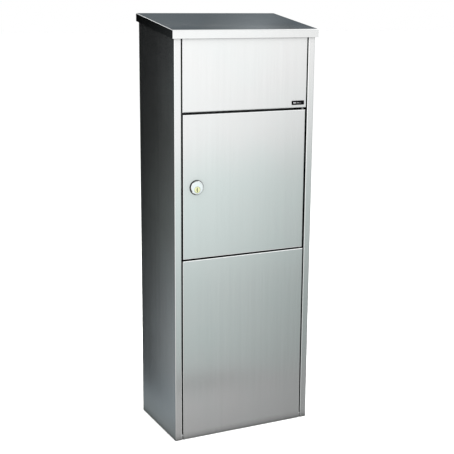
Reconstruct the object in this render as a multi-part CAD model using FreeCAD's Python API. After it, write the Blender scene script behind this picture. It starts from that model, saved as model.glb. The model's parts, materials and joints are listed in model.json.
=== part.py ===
import FreeCAD, Part

import math
import os

# Free-standing drop box for books and parcels: a folded stainless cabinet with a top-hung drop hatch,
# a locked emptying door and a fixed lower panel under a sloping roof.
#
# Frame: millimetres, +Z up, +X to the right of someone facing the front, the front faces -Y.
# The origin is the middle of the overall footprint, on the ground.

V = FreeCAD.Vector

# ---------------------------------------------------------------- driving dimensions
WIDTH = 380.0             # cabinet, outside
DEPTH = 226.0             # cabinet, front flange face to rear flange face
ROOF_FRONT_Z = 1025.0     # top of the roof at its front edge
ROOF_REAR_Z = 1060.0      # top of the roof at its rear edge, the overall height
ROOF_SIDE = 6.0           # roof overhang past each side
ROOF_FRONT = 6.0          # roof overhang past the front
ROOF_REAR = 2.0           # roof overhang past the rear
ROOF_LIP = 20.0           # height of the lip folded down around the roof

SHEET = 1.2               # stainless sheet
BEND = 1.0                # inside bend radius
FLANGE = 18.0             # front flange beside the doors
REVEAL = 18.0             # depth of the return beside the doors
STOP = 14.0               # width of the stop lip behind the doors
REAR_FLANGE = 20.0
RETURN = 15.0             # depth of the folded edges of hatch, door and lower panel
ANGLE_LEG = 20.0          # legs of the angles on the side walls
RAIL_LEG = 16.0           # depth of the rails across the front
RAIL_H = 36.0

HATCH_BOTTOM_Z = 832.0
HATCH_TOP_Z = 1007.0
DOOR_TOP_Z = 827.0
DOOR_BOTTOM_Z = 472.4
LOWER_TOP_Z = 468.8
SIDE_GAP = 3.0            # beside the hatch and the lower panel
DOOR_GAP_LOCK = 4.0       # beside the door, lock side
DOOR_GAP_HINGE = 5.0      # beside the door, hinge side

SILL_Z = 14.0
BASE_Z = 15.0
FLOOR_Z = 486.0           # top of the lower cross rail, where the storage floor rests
CHUTE_Z = 848.0           # top of the upper cross rail, where the chute starts
HEADER_TOP = 1023.0
HEADER_BOTTOM = 1011.0

HATCH_AXIS_Z = 1000.0
HATCH_AXIS_DEEP = 8.0     # behind the front face
HATCH_OPEN_DEG = 70.0
ROD_R = 3.0
BAFFLE_LENGTH = 185.0
CHEEK_R = 148.0
CHEEK_X = 155.0           # outside face of each cheek

DOOR_AXIS_IN = 6.0        # from the door's hinge edge
DOOR_AXIS_DEEP = 7.0      # behind the front face
HINGE_PIN_R = 2.0

LOCK_X = -132.5
LOCK_Z = 650.0
LOCK_FACE_R = 16.5
LOCK_FACE_T = 4.0
GASKET_R = 18.2           # rubber ring between lock face and door
GASKET_T = 1.2
BARREL_R = 13.5
BARREL_END_DEEP = 20.0    # behind the front face
PLUG_R = 8.0
PLUG_DROP = 5.0           # plug axis below the middle of the lock face
CAM_REACH = 42.0
CAM_W = 15.0
CAM_T = 2.5

BADGE_X = 144.5
BADGE_Z = 844.5
BADGE_W, BADGE_H, BADGE_T = 35.0, 10.4, 1.0

ANCHOR_X, ANCHOR_Y, ANCHOR_R = 280.0, 130.0, 5.5      # spacing across and in depth, hole radius
ANCHOR_MID_Y = 10.0
WALL_X, WALL_Z, WALL_R = 240.0, 700.0, 4.25           # spacing across and in height, hole radius
WALL_MID_Z = 550.0
RIVET_Z = (60.0, 250.0, 440.0, 630.0, 820.0, 1000.0)
SCREW_Z = (60.0, 230.0, 400.0)

RUN_CLEAR = 0.05          # radial clearance of a running fit
DRILL = 8.0               # length of the cutter for a hole through one sheet
TINY = 1e-6               # two places closer than this are the same
SIDES = (-1, 1)           # left and right

# ---------------------------------------------------------------- worked out from them
HALF = WIDTH / 2
TOTAL_DEPTH = DEPTH + ROOF_FRONT + ROOF_REAR
FRONT = -TOTAL_DEPTH / 2 + ROOF_FRONT          # outer face of flanges, hatch, door and lower panel
REAR = FRONT + DEPTH
OPEN_X = HALF - FLANGE                         # half width between the reveals
STOP_Y = FRONT + REVEAL                        # front face of the stop lips
RAIL_Y = STOP_Y + SHEET                        # front face of the rails
RAIL_X = HALF - SHEET - 1.8                    # half length of the rails, short of the side walls
BACK_Y = REAR - SHEET                          # outer face of the back panel, inside the rear flanges
ROOF_Y0, ROOF_Y1 = -TOTAL_DEPTH / 2, TOTAL_DEPTH / 2
ROOF_SLOPE = math.atan2(ROOF_REAR_Z - ROOF_FRONT_Z, TOTAL_DEPTH)
ROOF_DROP = SHEET / math.cos(ROOF_SLOPE)       # vertical thickness of the sloping sheet
HATCH_AXIS_Y = FRONT + HATCH_AXIS_DEEP
HATCH_X = OPEN_X - SIDE_GAP                    # half width of the hatch and the lower panel
DOOR_X0, DOOR_X1 = -OPEN_X + DOOR_GAP_LOCK, OPEN_X - DOOR_GAP_HINGE
DOOR_AXIS_X = DOOR_X1 - DOOR_AXIS_IN
DOOR_AXIS_Y = FRONT + DOOR_AXIS_DEEP
PLUG_Z = LOCK_Z - PLUG_DROP
RIVET_X = HALF - REAR_FLANGE / 2


def roof_z(y):
    """Height of the roof's outer surface at depth y."""
    return ROOF_FRONT_Z + (y - ROOF_Y0) * math.tan(ROOF_SLOPE)


# ---------------------------------------------------------------- shape helpers
def block(x0, x1, y0, y1, z0, z1):
    return Part.makeBox(x1 - x0, y1 - y0, z1 - z0, V(x0, y0, z0))


def side_block(side, near, far, y0, y1, z0, z1):
    """A block on the left or right side, from near to far off the middle plane."""
    x0, x1 = sorted((side * near, side * far))
    return block(x0, x1, y0, y1, z0, z1)


def rod(radius, start, axis, length):
    return Part.makeCylinder(radius, length, V(*start), V(*axis))


def drill(radius, x, y, z):
    """Cutter for a hole along Y through a sheet at depth y."""
    return rod(radius, (x, y - DRILL / 2, z), (0, 1, 0), DRILL)


def joined(*shapes):
    """One solid from several that touch or overlap."""
    shape = shapes[0].multiFuse(list(shapes[1:])) if len(shapes) > 1 else shapes[0]
    return shape.removeSplitter()


def mirrored(shape):
    """The same piece on the other side of the cabinet."""
    return shape.mirror(V(0, 0, 0), V(1, 0, 0))


def edges_at_front(shape, y):
    """Edges that lie wholly at depth y or before it."""
    return [edge for edge in shape.Edges if edge.BoundBox.YMax < y + TINY]


def rounded_outline(corners):
    """Closed wire through (u, v, radius) corners, in the XY plane."""
    count = len(corners)
    turns = []
    for i, (u, v, radius) in enumerate(corners):
        here = V(u, v, 0)
        if radius <= 0:
            turns.append((here, here, None))
            continue
        before = V(*corners[i - 1][:2], 0) - here
        after = V(*corners[(i + 1) % count][:2], 0) - here
        before.normalize()
        after.normalize()
        half_angle = math.acos(max(-1.0, min(1.0, before.dot(after)))) / 2
        back = radius / math.tan(half_angle)
        toward = before + after
        toward.normalize()
        middle = here + toward * (radius / math.sin(half_angle) - radius)
        turns.append((here + before * back, here + after * back, middle))
    edges = []
    last = turns[-1][1]
    for entry, leave, middle in turns:
        if (entry - last).Length > TINY:
            edges.append(Part.LineSegment(last, entry).toShape())
        if middle is not None:
            edges.append(Part.Arc(entry, middle, leave).toShape())
        last = leave
    return Part.Wire(edges)


def sheet_outline(points, thickness=SHEET, bend=BEND):
    """Section of a folded sheet: points run along one face, and the metal lies to their left."""
    count = len(points)
    line = [V(u, v, 0) for u, v in points]
    along = [(line[i + 1] - line[i]).normalize() for i in range(count - 1)]
    left = [V(-d.y, d.x, 0) for d in along]
    near, far = [], []
    for i in range(count):
        if i in (0, count - 1):
            side = left[0] if i == 0 else left[-1]
            near.append((line[i].x, line[i].y, 0))
            across = line[i] + side * thickness
            far.append((across.x, across.y, 0))
            continue
        mitre = left[i - 1] + left[i]
        mitre.normalize()
        across = line[i] + mitre * (thickness / mitre.dot(left[i]))
        turns_left = along[i - 1].cross(along[i]).z > 0
        near.append((line[i].x, line[i].y, bend + thickness if turns_left else bend))
        far.append((across.x, across.y, bend if turns_left else bend + thickness))
    return rounded_outline(near + far[::-1])


def folded_upright(points, z0, z1):
    """A section drawn in X and Y, standing from z0 to z1."""
    face = Part.Face(sheet_outline(points))
    face.translate(V(0, 0, z0))
    return face.extrude(V(0, 0, z1 - z0))


def folded_across(points, x0, x1):
    """A section drawn in Y and Z, running from x0 to x1."""
    face = Part.Face(sheet_outline(points))
    face.rotate(V(0, 0, 0), V(1, 1, 1), 120)        # X, Y of the drawing become Y, Z
    face.translate(V(x0, 0, 0))
    return face.extrude(V(x1 - x0, 0, 0))


def folded_in_depth(points, y0, y1):
    """A section drawn in X and Z, running from y0 to y1."""
    face = Part.Face(sheet_outline(points))
    face.rotate(V(0, 0, 0), V(1, 0, 0), 90)
    face.translate(V(0, y0, 0))
    return face.extrude(V(0, y1 - y0, 0))


def pan(x0, x1, z0, z1, deep, open_top=False, open_bottom=False):
    """A front panel folded back on its edges: a shallow tray that opens to the rear."""
    body = block(x0, x1, FRONT, FRONT + deep, z0, z1)
    folds = []
    for edge in edges_at_front(body, FRONT):
        box = edge.BoundBox
        at_open_top = open_top and box.ZMin > z1 - TINY
        at_open_bottom = open_bottom and box.ZMax < z0 + TINY
        if not at_open_top and not at_open_bottom:
            folds.append(edge)
    body = body.makeFillet(BEND + SHEET, folds)
    cut_z0 = z0 - deep if open_bottom else z0 + SHEET
    cut_z1 = z1 + deep if open_top else z1 - SHEET
    hollow = block(x0 + SHEET, x1 - SHEET, FRONT + SHEET, FRONT + 2 * deep, cut_z0, cut_z1)
    return body.cut(hollow.makeFillet(BEND, edges_at_front(hollow, FRONT + SHEET)))


def plate_yz(corners, x0, x1):
    """A flat plate whose outline is drawn in Y and Z as (y, z, radius)."""
    face = Part.Face(rounded_outline(corners))
    face.rotate(V(0, 0, 0), V(1, 1, 1), 120)
    face.translate(V(x0, 0, 0))
    return face.extrude(V(x1 - x0, 0, 0))


def plate_xz(corners, y0, y1):
    """A flat plate whose outline is drawn in X and Z as (x, z, radius)."""
    face = Part.Face(rounded_outline(corners))
    face.rotate(V(0, 0, 0), V(1, 0, 0), 90)
    face.translate(V(0, y0, 0))
    return face.extrude(V(0, y1 - y0, 0))


def hexagon(across_flats, start, axis, height):
    """A hexagonal prism along axis."""
    circle_r = across_flats / math.sqrt(3)
    angles = [math.radians(60 * k) for k in range(7)]
    points = [V(circle_r * math.cos(a), circle_r * math.sin(a), 0) for a in angles]
    prism = Part.Face(Part.makePolygon(points)).extrude(V(0, 0, height))
    prism.Placement = FreeCAD.Placement(V(*start), FreeCAD.Rotation(V(0, 0, 1), V(*axis)))
    return prism


HEX_FLATS, HEX_H = 8.0, 5.0
HEX_FLANGE_R, HEX_FLANGE_T = 5.6, 1.2


def flanged_hexagon(start, axis):
    """Hexagonal nut or screw head with a flange at its start."""
    flange = rod(HEX_FLANGE_R, start, axis, HEX_FLANGE_T)
    return joined(flange, hexagon(HEX_FLATS, start, axis, HEX_H))


def on_roof_slope(shape):
    """Carries a shape from a level frame into the roof's underside plane, at the middle of the depth."""
    tilt = FreeCAD.Rotation(V(1, 0, 0), math.degrees(ROOF_SLOPE))
    place = FreeCAD.Placement(V(0, 0, roof_z(0) - ROOF_DROP), tilt)
    shape = shape.copy()
    shape.Placement = place.multiply(shape.Placement)
    return shape


# ---------------------------------------------------------------- cabinet
PANEL_TOP_CLEAR = 0.8                    # side panels, under the roof sheet
BACK_X = HALF - SHEET - BEND - 0.8       # half width of the back panel, clear of the side walls' bends
BACK_BOTTOM_Z = 1.0
BACK_TOP_CLEAR = 6.0
CUT_REACH = 400.0                        # cutters that run well past the cabinet


def above_roof_line():
    """Everything above the line where the side panels end, just under the roof sheet."""
    front, rear = ROOF_Y0 - CUT_REACH, ROOF_Y1 + CUT_REACH
    drop = ROOF_DROP + PANEL_TOP_CLEAR
    top = ROOF_REAR_Z + CUT_REACH
    corners = [(front, roof_z(front) - drop), (rear, roof_z(rear) - drop), (rear, top), (front, top)]
    return plate_yz([(y, z, 0) for y, z in corners], -CUT_REACH, CUT_REACH)


def left_side_panel():
    """Side wall with its front flange, reveal, stop lip and rear flange folded from one sheet."""
    section = [
        (-HALF + REAR_FLANGE, REAR),
        (-HALF, REAR),
        (-HALF, FRONT),
        (-OPEN_X, FRONT),
        (-OPEN_X, STOP_Y),
        (-OPEN_X + STOP, STOP_Y),
    ]
    panel = folded_upright(section, 0, ROOF_REAR_Z).cut(above_roof_line())
    bush_hole = rod(BUSH_R, (-OPEN_X - DRILL / 2, HATCH_AXIS_Y, HATCH_AXIS_Z), (1, 0, 0), DRILL)
    rivet_holes = [drill(RIVET_R, -RIVET_X, REAR, z) for z in RIVET_Z]
    screw_holes = [drill(SCREW_R, -SCREW_X, STOP_Y, z) for z in SCREW_Z]
    return panel.cut([bush_hole, *rivet_holes, *screw_holes])


def back_panel():
    """Flat sheet riveted inside the rear flanges, with four holes for fixing to a wall."""
    top = roof_z(BACK_Y) - ROOF_DROP - BACK_TOP_CLEAR
    sheet = block(-BACK_X, BACK_X, BACK_Y - SHEET, BACK_Y, BACK_BOTTOM_Z, top)
    wall_z = (WALL_MID_Z - WALL_Z / 2, WALL_MID_Z + WALL_Z / 2)
    holes = [drill(WALL_R, side * WALL_X / 2, BACK_Y, z) for side in SIDES for z in wall_z]
    holes += [drill(RIVET_R, side * RIVET_X, BACK_Y, z) for side in SIDES for z in RIVET_Z]
    return sheet.cut(holes)


RIVET_R = 2.0
RIVET_HEAD_R, RIVET_HEAD_T = 4.0, 1.1
RIVET_HEAD_ROUND = 0.9
RIVET_BULB_R, RIVET_BULB_T = 2.9, 1.6


def back_rivets():
    """Blind rivets through the rear flanges and the back panel."""
    inside = BACK_Y - SHEET
    rivets = []
    for side in SIDES:
        for z in RIVET_Z:
            x = side * RIVET_X
            head = rod(RIVET_HEAD_R, (x, REAR, z), (0, 1, 0), RIVET_HEAD_T)
            rim = [edge for edge in head.Edges if edge.BoundBox.YMin > REAR + RIVET_HEAD_T - TINY]
            shank = rod(RIVET_R, (x, inside, z), (0, 1, 0), REAR - inside)
            bulb = rod(RIVET_BULB_R, (x, inside - RIVET_BULB_T, z), (0, 1, 0), RIVET_BULB_T)
            rivets.append(joined(head.makeFillet(RIVET_HEAD_ROUND, rim), shank, bulb))
    return Part.makeCompound(rivets)


def on_roof_top(edge):
    """Whether an edge lies in the roof's outer surface."""
    return all(abs(vertex.Point.z - roof_z(vertex.Point.y)) < TINY for vertex in edge.Vertexes)


def roof_cap():
    """Sloping sheet with a lip folded down on all four sides."""
    x = HALF + ROOF_SIDE
    outline = [
        (ROOF_Y0, ROOF_FRONT_Z - ROOF_LIP, 0),
        (ROOF_Y1, ROOF_REAR_Z - ROOF_LIP, 0),
        (ROOF_Y1, ROOF_REAR_Z, 0),
        (ROOF_Y0, ROOF_FRONT_Z, 0),
    ]
    outer = plate_yz(outline, -x, x)
    outer = outer.makeFillet(BEND + SHEET, [edge for edge in outer.Edges if on_roof_top(edge)])
    front, rear = ROOF_Y0 + SHEET, ROOF_Y1 - SHEET
    below = ROOF_FRONT_Z - 3 * ROOF_LIP
    hollow = [
        (front, below, 0),
        (rear, below, 0),
        (rear, roof_z(rear) - ROOF_DROP, 0),
        (front, roof_z(front) - ROOF_DROP, 0),
    ]
    return outer.cut(plate_yz(hollow, -x + SHEET, x - SHEET))


ROOF_ANGLE_Y0, ROOF_ANGLE_Y1 = -86.0, 96.0         # along the slope, from its middle
STUD_R = 2.5
STUD_LENGTH = 13.0
STUD_X = HALF - SHEET - ANGLE_LEG / 2
STUD_Y = (-60.0, 75.0)
STUD_PLACES = [(side * STUD_X, y) for side in SIDES for y in STUD_Y]


def left_roof_angle():
    """Angle along the top of the side wall that the roof is bolted down to."""
    wall = -HALF + SHEET
    section = [(wall + ANGLE_LEG, 0.0), (wall, 0.0), (wall, -ANGLE_LEG)]
    angle = folded_in_depth(section, ROOF_ANGLE_Y0, ROOF_ANGLE_Y1)
    holes = [rod(STUD_R, (-STUD_X, y, -DRILL), (0, 0, 1), 2 * DRILL) for y in STUD_Y]
    return on_roof_slope(angle.cut(holes))


def roof_studs():
    """Studs welded under the roof sheet."""
    studs = [rod(STUD_R, (x, y, -STUD_LENGTH), (0, 0, 1), STUD_LENGTH) for x, y in STUD_PLACES]
    return Part.makeCompound([on_roof_slope(stud) for stud in studs])


def roof_nuts():
    """Flanged nuts that draw the roof down onto the angles."""
    nuts = []
    for x, y in STUD_PLACES:
        bore = rod(STUD_R, (x, y, -STUD_LENGTH), (0, 0, 1), STUD_LENGTH)
        nuts.append(on_roof_slope(flanged_hexagon((x, y, -SHEET), (0, 0, -1)).cut(bore)))
    return Part.makeCompound(nuts)


BASE_REAR_CLEAR = 0.2


def base_plate():
    """Floor of the cabinet: a pan turned down on all sides, with four holes for ground anchors."""
    x, y0, y1 = HALF - SHEET, RAIL_Y, BACK_Y - SHEET - BASE_REAR_CLEAR
    body = block(-x, x, y0, y1, 0, BASE_Z)
    top_edges = [edge for edge in body.Edges if edge.BoundBox.ZMin > BASE_Z - TINY]
    body = body.makeFillet(BEND + SHEET, top_edges)
    hollow = block(-x + SHEET, x - SHEET, y0 + SHEET, y1 - SHEET, -BASE_Z, BASE_Z - SHEET)
    places = [(i * ANCHOR_X / 2, ANCHOR_MID_Y + j * ANCHOR_Y / 2) for i in SIDES for j in SIDES]
    holes = [rod(ANCHOR_R, (x, y, 0), (0, 0, 1), 2 * BASE_Z) for x, y in places]
    return body.cut([hollow, *holes])


SILL_FOOT_Z = 0.5
SILL_FRONT_CLEAR = 0.3                   # behind the lower panel's skin


def bottom_sill():
    """Folded strip between the reveals that closes the bottom behind the lower panel."""
    front = FRONT + SHEET + SILL_FRONT_CLEAR
    section = [(STOP_Y - BEND, SILL_Z), (front, SILL_Z), (front, SILL_FOOT_Z)]
    return folded_across(section, -OPEN_X, OPEN_X)


def cross_rail(top):
    """Channel across the front behind the stop lips; its web backs the edges of the panels."""
    back, bottom = RAIL_Y + RAIL_LEG, top - RAIL_H
    section = [(back, top), (RAIL_Y, top), (RAIL_Y, bottom), (back, bottom)]
    return folded_across(section, -RAIL_X, RAIL_X)


def header_rail():
    """Angle across the front, above the hatch and under the roof."""
    section = [(RAIL_Y + RAIL_LEG, HEADER_TOP), (RAIL_Y, HEADER_TOP), (RAIL_Y, HEADER_BOTTOM)]
    return folded_across(section, -RAIL_X, RAIL_X)


# ---------------------------------------------------------------- lower panel
SCREW_R = 2.5
SCREW_X = OPEN_X - STOP + 5.0
SCREW_PLACES = [(side * SCREW_X, z) for side in SIDES for z in SCREW_Z]
LIP_IN = 14.0                            # how far the screw lips reach in from the panel's edge
LIP_FOOT, LIP_HEAD = 6.0, 8.0            # lips end over the sill and under the panel's top
LIP_BACK = FRONT + RETURN                # rear face of the lips
NOTCH_IN, NOTCH_OUT, NOTCH_UP = 7.0, 1.0, 1.0
NOTCH_FRONT_CLEAR = 0.1
SPACER_R = 4.8
SCREW_TIP = 4.2                          # how far the screws stand out of the lips
CLINCH_FLATS, CLINCH_T = 7.0, 3.0


def lower_front_panel():
    """Fixed panel, folded back on three edges, with inward lips for its screws and notches for the sill."""
    panel = pan(-HATCH_X, HATCH_X, 0.0, LOWER_TOP_Z, RETURN, open_bottom=True)
    notch_y = FRONT + SHEET + NOTCH_FRONT_CLEAR
    lips, cutters = [], []
    for side in SIDES:
        lip = (LIP_BACK - SHEET, LIP_BACK, SILL_Z + LIP_FOOT, LOWER_TOP_Z - LIP_HEAD)
        lips.append(side_block(side, HATCH_X - LIP_IN, HATCH_X - SHEET / 2, *lip))
        notch = (notch_y, notch_y + 2 * RETURN, -NOTCH_UP, SILL_Z + NOTCH_UP)
        cutters.append(side_block(side, HATCH_X - NOTCH_IN, HATCH_X + NOTCH_OUT, *notch))
    cutters += [drill(SCREW_R, x, LIP_BACK, z) for x, z in SCREW_PLACES]
    return joined(panel, *lips).cut(cutters)


def lower_panel_spacers():
    """Rings that fill the gap between the panel's lips and the stop lips at each screw."""
    rings = []
    for x, z in SCREW_PLACES:
        outside = rod(SPACER_R, (x, LIP_BACK, z), (0, 1, 0), STOP_Y - LIP_BACK)
        rings.append(outside.cut(drill(SCREW_R, x, LIP_BACK, z)))
    return Part.makeCompound(rings)


def lower_panel_screws():
    """Screws put in from the inside, with flanged heads behind the stop lips."""
    tip_y = LIP_BACK - SHEET - SCREW_TIP
    screws = []
    for x, z in SCREW_PLACES:
        shank = rod(SCREW_R, (x, tip_y, z), (0, 1, 0), RAIL_Y - tip_y)
        screws.append(joined(shank, flanged_hexagon((x, RAIL_Y, z), (0, 1, 0))))
    return Part.makeCompound(screws)


def lower_panel_nuts():
    """Clinch nuts on the front side of the panel's lips."""
    nuts = []
    for x, z in SCREW_PLACES:
        nut = hexagon(CLINCH_FLATS, (x, LIP_BACK - SHEET - CLINCH_T, z), (0, 1, 0), CLINCH_T)
        nuts.append(nut.cut(drill(SCREW_R, x, LIP_BACK - SHEET - CLINCH_T / 2, z)))
    return Part.makeCompound(nuts)


# ---------------------------------------------------------------- inside
FLOOR_SIDE_CLEAR, FLOOR_FRONT_CLEAR, FLOOR_REAR_CLEAR = 2.3, 2.0, 1.0
FLOOR_UPSTAND = 16.0
GRIP_R, GRIP_X, GRIP_IN = 12.5, 90.0, 45.0       # finger holes: radius, off the middle, from the front


def storage_floor():
    """Lift-out floor with upstands at its sides and rear, and two finger holes."""
    x = HALF - SHEET - FLOOR_SIDE_CLEAR
    y0, y1 = RAIL_Y + FLOOR_FRONT_CLEAR, BACK_Y - SHEET - FLOOR_REAR_CLEAR
    body = block(-x, x, y0, y1, FLOOR_Z, FLOOR_Z + FLOOR_UPSTAND)
    low_edges = [edge for edge in body.Edges if edge.BoundBox.ZMax < FLOOR_Z + TINY]
    folds = [edge for edge in low_edges if edge.BoundBox.YMax > y0 + TINY]
    body = body.makeFillet(BEND + SHEET, folds)
    top = FLOOR_Z + 2 * FLOOR_UPSTAND
    hollow = block(-x + SHEET, x - SHEET, y0 - FLOOR_UPSTAND, y1 - SHEET, FLOOR_Z + SHEET, top)
    grips = [rod(GRIP_R, (side * GRIP_X, y0 + GRIP_IN, FLOOR_Z - 1), (0, 0, 1), DRILL) for side in SIDES]
    return body.cut([hollow, *grips])


SUPPORT_Y0, SUPPORT_Y1 = -72.0, 104.0


def left_floor_support():
    """Angle on the side wall that carries the storage floor."""
    wall = -HALF + SHEET
    section = [(wall + ANGLE_LEG, FLOOR_Z), (wall, FLOOR_Z), (wall, FLOOR_Z - ANGLE_LEG)]
    return folded_in_depth(section, SUPPORT_Y0, SUPPORT_Y1)


CHUTE_BACK, CHUTE_LEDGE = 2.5, 15.0      # from the rail's face to the chute's edge, and its level part
CHUTE_RUN, CHUTE_FALL, CHUTE_LIP = 69.0, 59.0, 9.0


def drop_chute():
    """Sloping sheet that leads what is dropped in away from the hatch."""
    edge = RAIL_Y + CHUTE_BACK
    knee = edge + CHUTE_LEDGE
    top = CHUTE_Z + SHEET
    foot = top - CHUTE_FALL
    end = knee + CHUTE_RUN
    section = [(end, foot - CHUTE_LIP), (end, foot), (knee, top), (edge, top)]
    return folded_across(section, -RAIL_X, RAIL_X)


# ---------------------------------------------------------------- hatch
ROD_HALF = 179.0
ROD_CHAMFER = 0.6
BUSH_R = 5.0
BUSH_LENGTH = 5.0
BUSH_FLANGE_R, BUSH_FLANGE_T = 7.4, 0.8
CLIP_R, CLIP_T, CLIP_GAP = 6.0, 1.0, 0.4

CHEEK_TOP = 5.0                          # above the axis
CHEEK_SHOULDER = 4.0                     # behind the axis
CHEEK_CROWN = 10.0                       # where the cheek's top edge meets the baffle
CHEEK_FOLD = 11.0
CHEEK_FOLD_FOOT, CHEEK_FOLD_HEAD = 6.0, 12.0

BAFFLE_START = 9.0                       # along the baffle, from the axis
BAFFLE_UPSTAND, BAFFLE_LIP = 10.0, 9.0

PEG_R = 2.0
BUFFER_R, BUFFER_LENGTH, BUFFER_ROUND = 5.0, 10.0, 1.0
BUFFER_CAP_R, BUFFER_CAP_T = 3.4, 1.5
BUFFER_ARM = 60.0                        # from the axis
BUFFER_CLEAR = 0.4                       # left to the stop lip when the hatch is fully open


def baffle_at(along, up):
    """Point in Y and Z, along the baffle from the hatch axis and up from its underside."""
    return (
        HATCH_AXIS_Y + along * math.cos(ROOF_SLOPE) - up * math.sin(ROOF_SLOPE),
        HATCH_AXIS_Z + along * math.sin(ROOF_SLOPE) + up * math.cos(ROOF_SLOPE),
    )


def hatch_panel():
    """Front of the hatch, folded back at its sides and bottom."""
    panel = pan(-HATCH_X, HATCH_X, HATCH_BOTTOM_Z, HATCH_TOP_Z, RETURN, open_top=True)
    return panel.cut(rod(ROD_R, (-OPEN_X, HATCH_AXIS_Y, HATCH_AXIS_Z), (1, 0, 0), 2 * OPEN_X))


def buffer_at():
    """Place of a stop buffer at rest: it meets the back of the stop lip when the hatch is fully open."""
    open_y = RAIL_Y + BUFFER_R + BUFFER_CLEAR - HATCH_AXIS_Y
    rest_angle = -math.acos(open_y / BUFFER_ARM) + math.radians(HATCH_OPEN_DEG)
    y = HATCH_AXIS_Y + BUFFER_ARM * math.cos(rest_angle)
    z = HATCH_AXIS_Z + BUFFER_ARM * math.sin(rest_angle)
    return y, z


BUFFER_AT = buffer_at()


def right_cheek():
    """Quarter plate that closes the side of the open hatch; its front edge is folded onto the panel."""
    y, z = HATCH_AXIS_Y, HATCH_AXIS_Z
    front = FRONT + SHEET
    toe = z - math.sqrt(CHEEK_R**2 - (front - y) ** 2)
    belly = CHEEK_R * math.sqrt(0.5)
    heel = V(0, *baffle_at(CHEEK_R, 0))
    corners = [
        heel,
        V(0, *baffle_at(CHEEK_CROWN, 0)),
        V(0, y + CHEEK_SHOULDER, z + CHEEK_TOP),
        V(0, front, z + CHEEK_TOP),
        V(0, front, toe),
    ]
    edges = [Part.Arc(corners[-1], V(0, y + belly, z - belly), heel).toShape()]
    edges += [Part.LineSegment(a, b).toShape() for a, b in zip(corners, corners[1:])]
    plate = Part.Face(Part.Wire(edges)).extrude(V(SHEET, 0, 0))
    plate.translate(V(CHEEK_X - SHEET, 0, 0))
    fold_z0, fold_z1 = toe + CHEEK_FOLD_FOOT, z - CHEEK_FOLD_HEAD
    fold = block(CHEEK_X - CHEEK_FOLD, CHEEK_X - SHEET, front, front + SHEET, fold_z0, fold_z1)
    holes = [
        rod(ROD_R, (0, y, z), (1, 0, 0), HALF),
        rod(PEG_R, (0, *BUFFER_AT), (1, 0, 0), HALF),
        rod(SPRING_HOLE_R, (0, y + SPRING_ARM, z + SPRING_R), (1, 0, 0), HALF),
    ]
    return joined(plate, fold).cut(holes)


def hatch_stop_buffers():
    """Rubber buffers on the cheeks that limit how far the hatch opens."""
    buffers = []
    for side in SIDES:
        axis = (side, 0, 0)
        body = rod(BUFFER_R, (side * CHEEK_X, *BUFFER_AT), axis, BUFFER_LENGTH)
        tip_x = CHEEK_X + BUFFER_LENGTH
        rim = [edge for edge in body.Edges if min(abs(v.Point.x) for v in edge.Vertexes) > tip_x - TINY]
        inside_x = CHEEK_X - SHEET
        peg = rod(PEG_R, (side * inside_x, *BUFFER_AT), axis, SHEET)
        cap = rod(BUFFER_CAP_R, (side * (inside_x - BUFFER_CAP_T), *BUFFER_AT), axis, BUFFER_CAP_T)
        buffers.append(joined(body.makeFillet(BUFFER_ROUND, rim), peg, cap))
    return Part.makeCompound(buffers)


def baffle_plate():
    """Plate between the cheeks that swings down behind whatever is put in the open hatch."""
    section = [
        baffle_at(BAFFLE_START, BAFFLE_UPSTAND),
        baffle_at(BAFFLE_START, 0.0),
        baffle_at(BAFFLE_LENGTH, 0.0),
        baffle_at(BAFFLE_LENGTH, -BAFFLE_LIP),
    ]
    x = CHEEK_X - SHEET
    return folded_across(section, -x, x)


def hatch_rod():
    """Rod that the hatch turns on."""
    body = rod(ROD_R, (-ROD_HALF, HATCH_AXIS_Y, HATCH_AXIS_Z), (1, 0, 0), 2 * ROD_HALF)
    ends = [edge for edge in body.Edges if edge.BoundBox.XLength < TINY]
    return body.makeChamfer(ROD_CHAMFER, ends)


def rod_clips():
    """Push-on retaining rings outside the bushes."""
    clips = []
    for side in SIDES:
        start = (side * (OPEN_X + BUSH_LENGTH + CLIP_GAP), HATCH_AXIS_Y, HATCH_AXIS_Z)
        axis = (side, 0, 0)
        clips.append(rod(CLIP_R, start, axis, CLIP_T).cut(rod(ROD_R, start, axis, CLIP_T)))
    return Part.makeCompound(clips)


def right_rod_bush():
    """Flanged plastic bush in the reveal that the rod runs in."""
    y, z = HATCH_AXIS_Y, HATCH_AXIS_Z
    body = rod(BUSH_R, (OPEN_X, y, z), (1, 0, 0), BUSH_LENGTH)
    flange = rod(BUSH_FLANGE_R, (OPEN_X - BUSH_FLANGE_T, y, z), (1, 0, 0), BUSH_FLANGE_T)
    bore = rod(ROD_R + RUN_CLEAR, (OPEN_X - BUSH_LENGTH, y, z), (1, 0, 0), 3 * BUSH_LENGTH)
    return joined(body, flange).cut(bore)


SPRING_WIRE_R = 0.8
SPRING_HOLE_R = 1.2
SPRING_R = 5.6                           # to the middle of the wire
SPRING_TURNS = 4.75
SPRING_X0 = CHEEK_X + 2.2                # middle of the wire at the cheek's end
SPRING_X1 = HATCH_X - SHEET - 2.1        # and at the wall's end
SPRING_ARM = 30.0                        # along the cheek, from the axis to the hook
SPRING_HOOK = 3.3
SPRING_TAIL_UP, SPRING_TAIL_BACK = 16.0, 3.5


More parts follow.
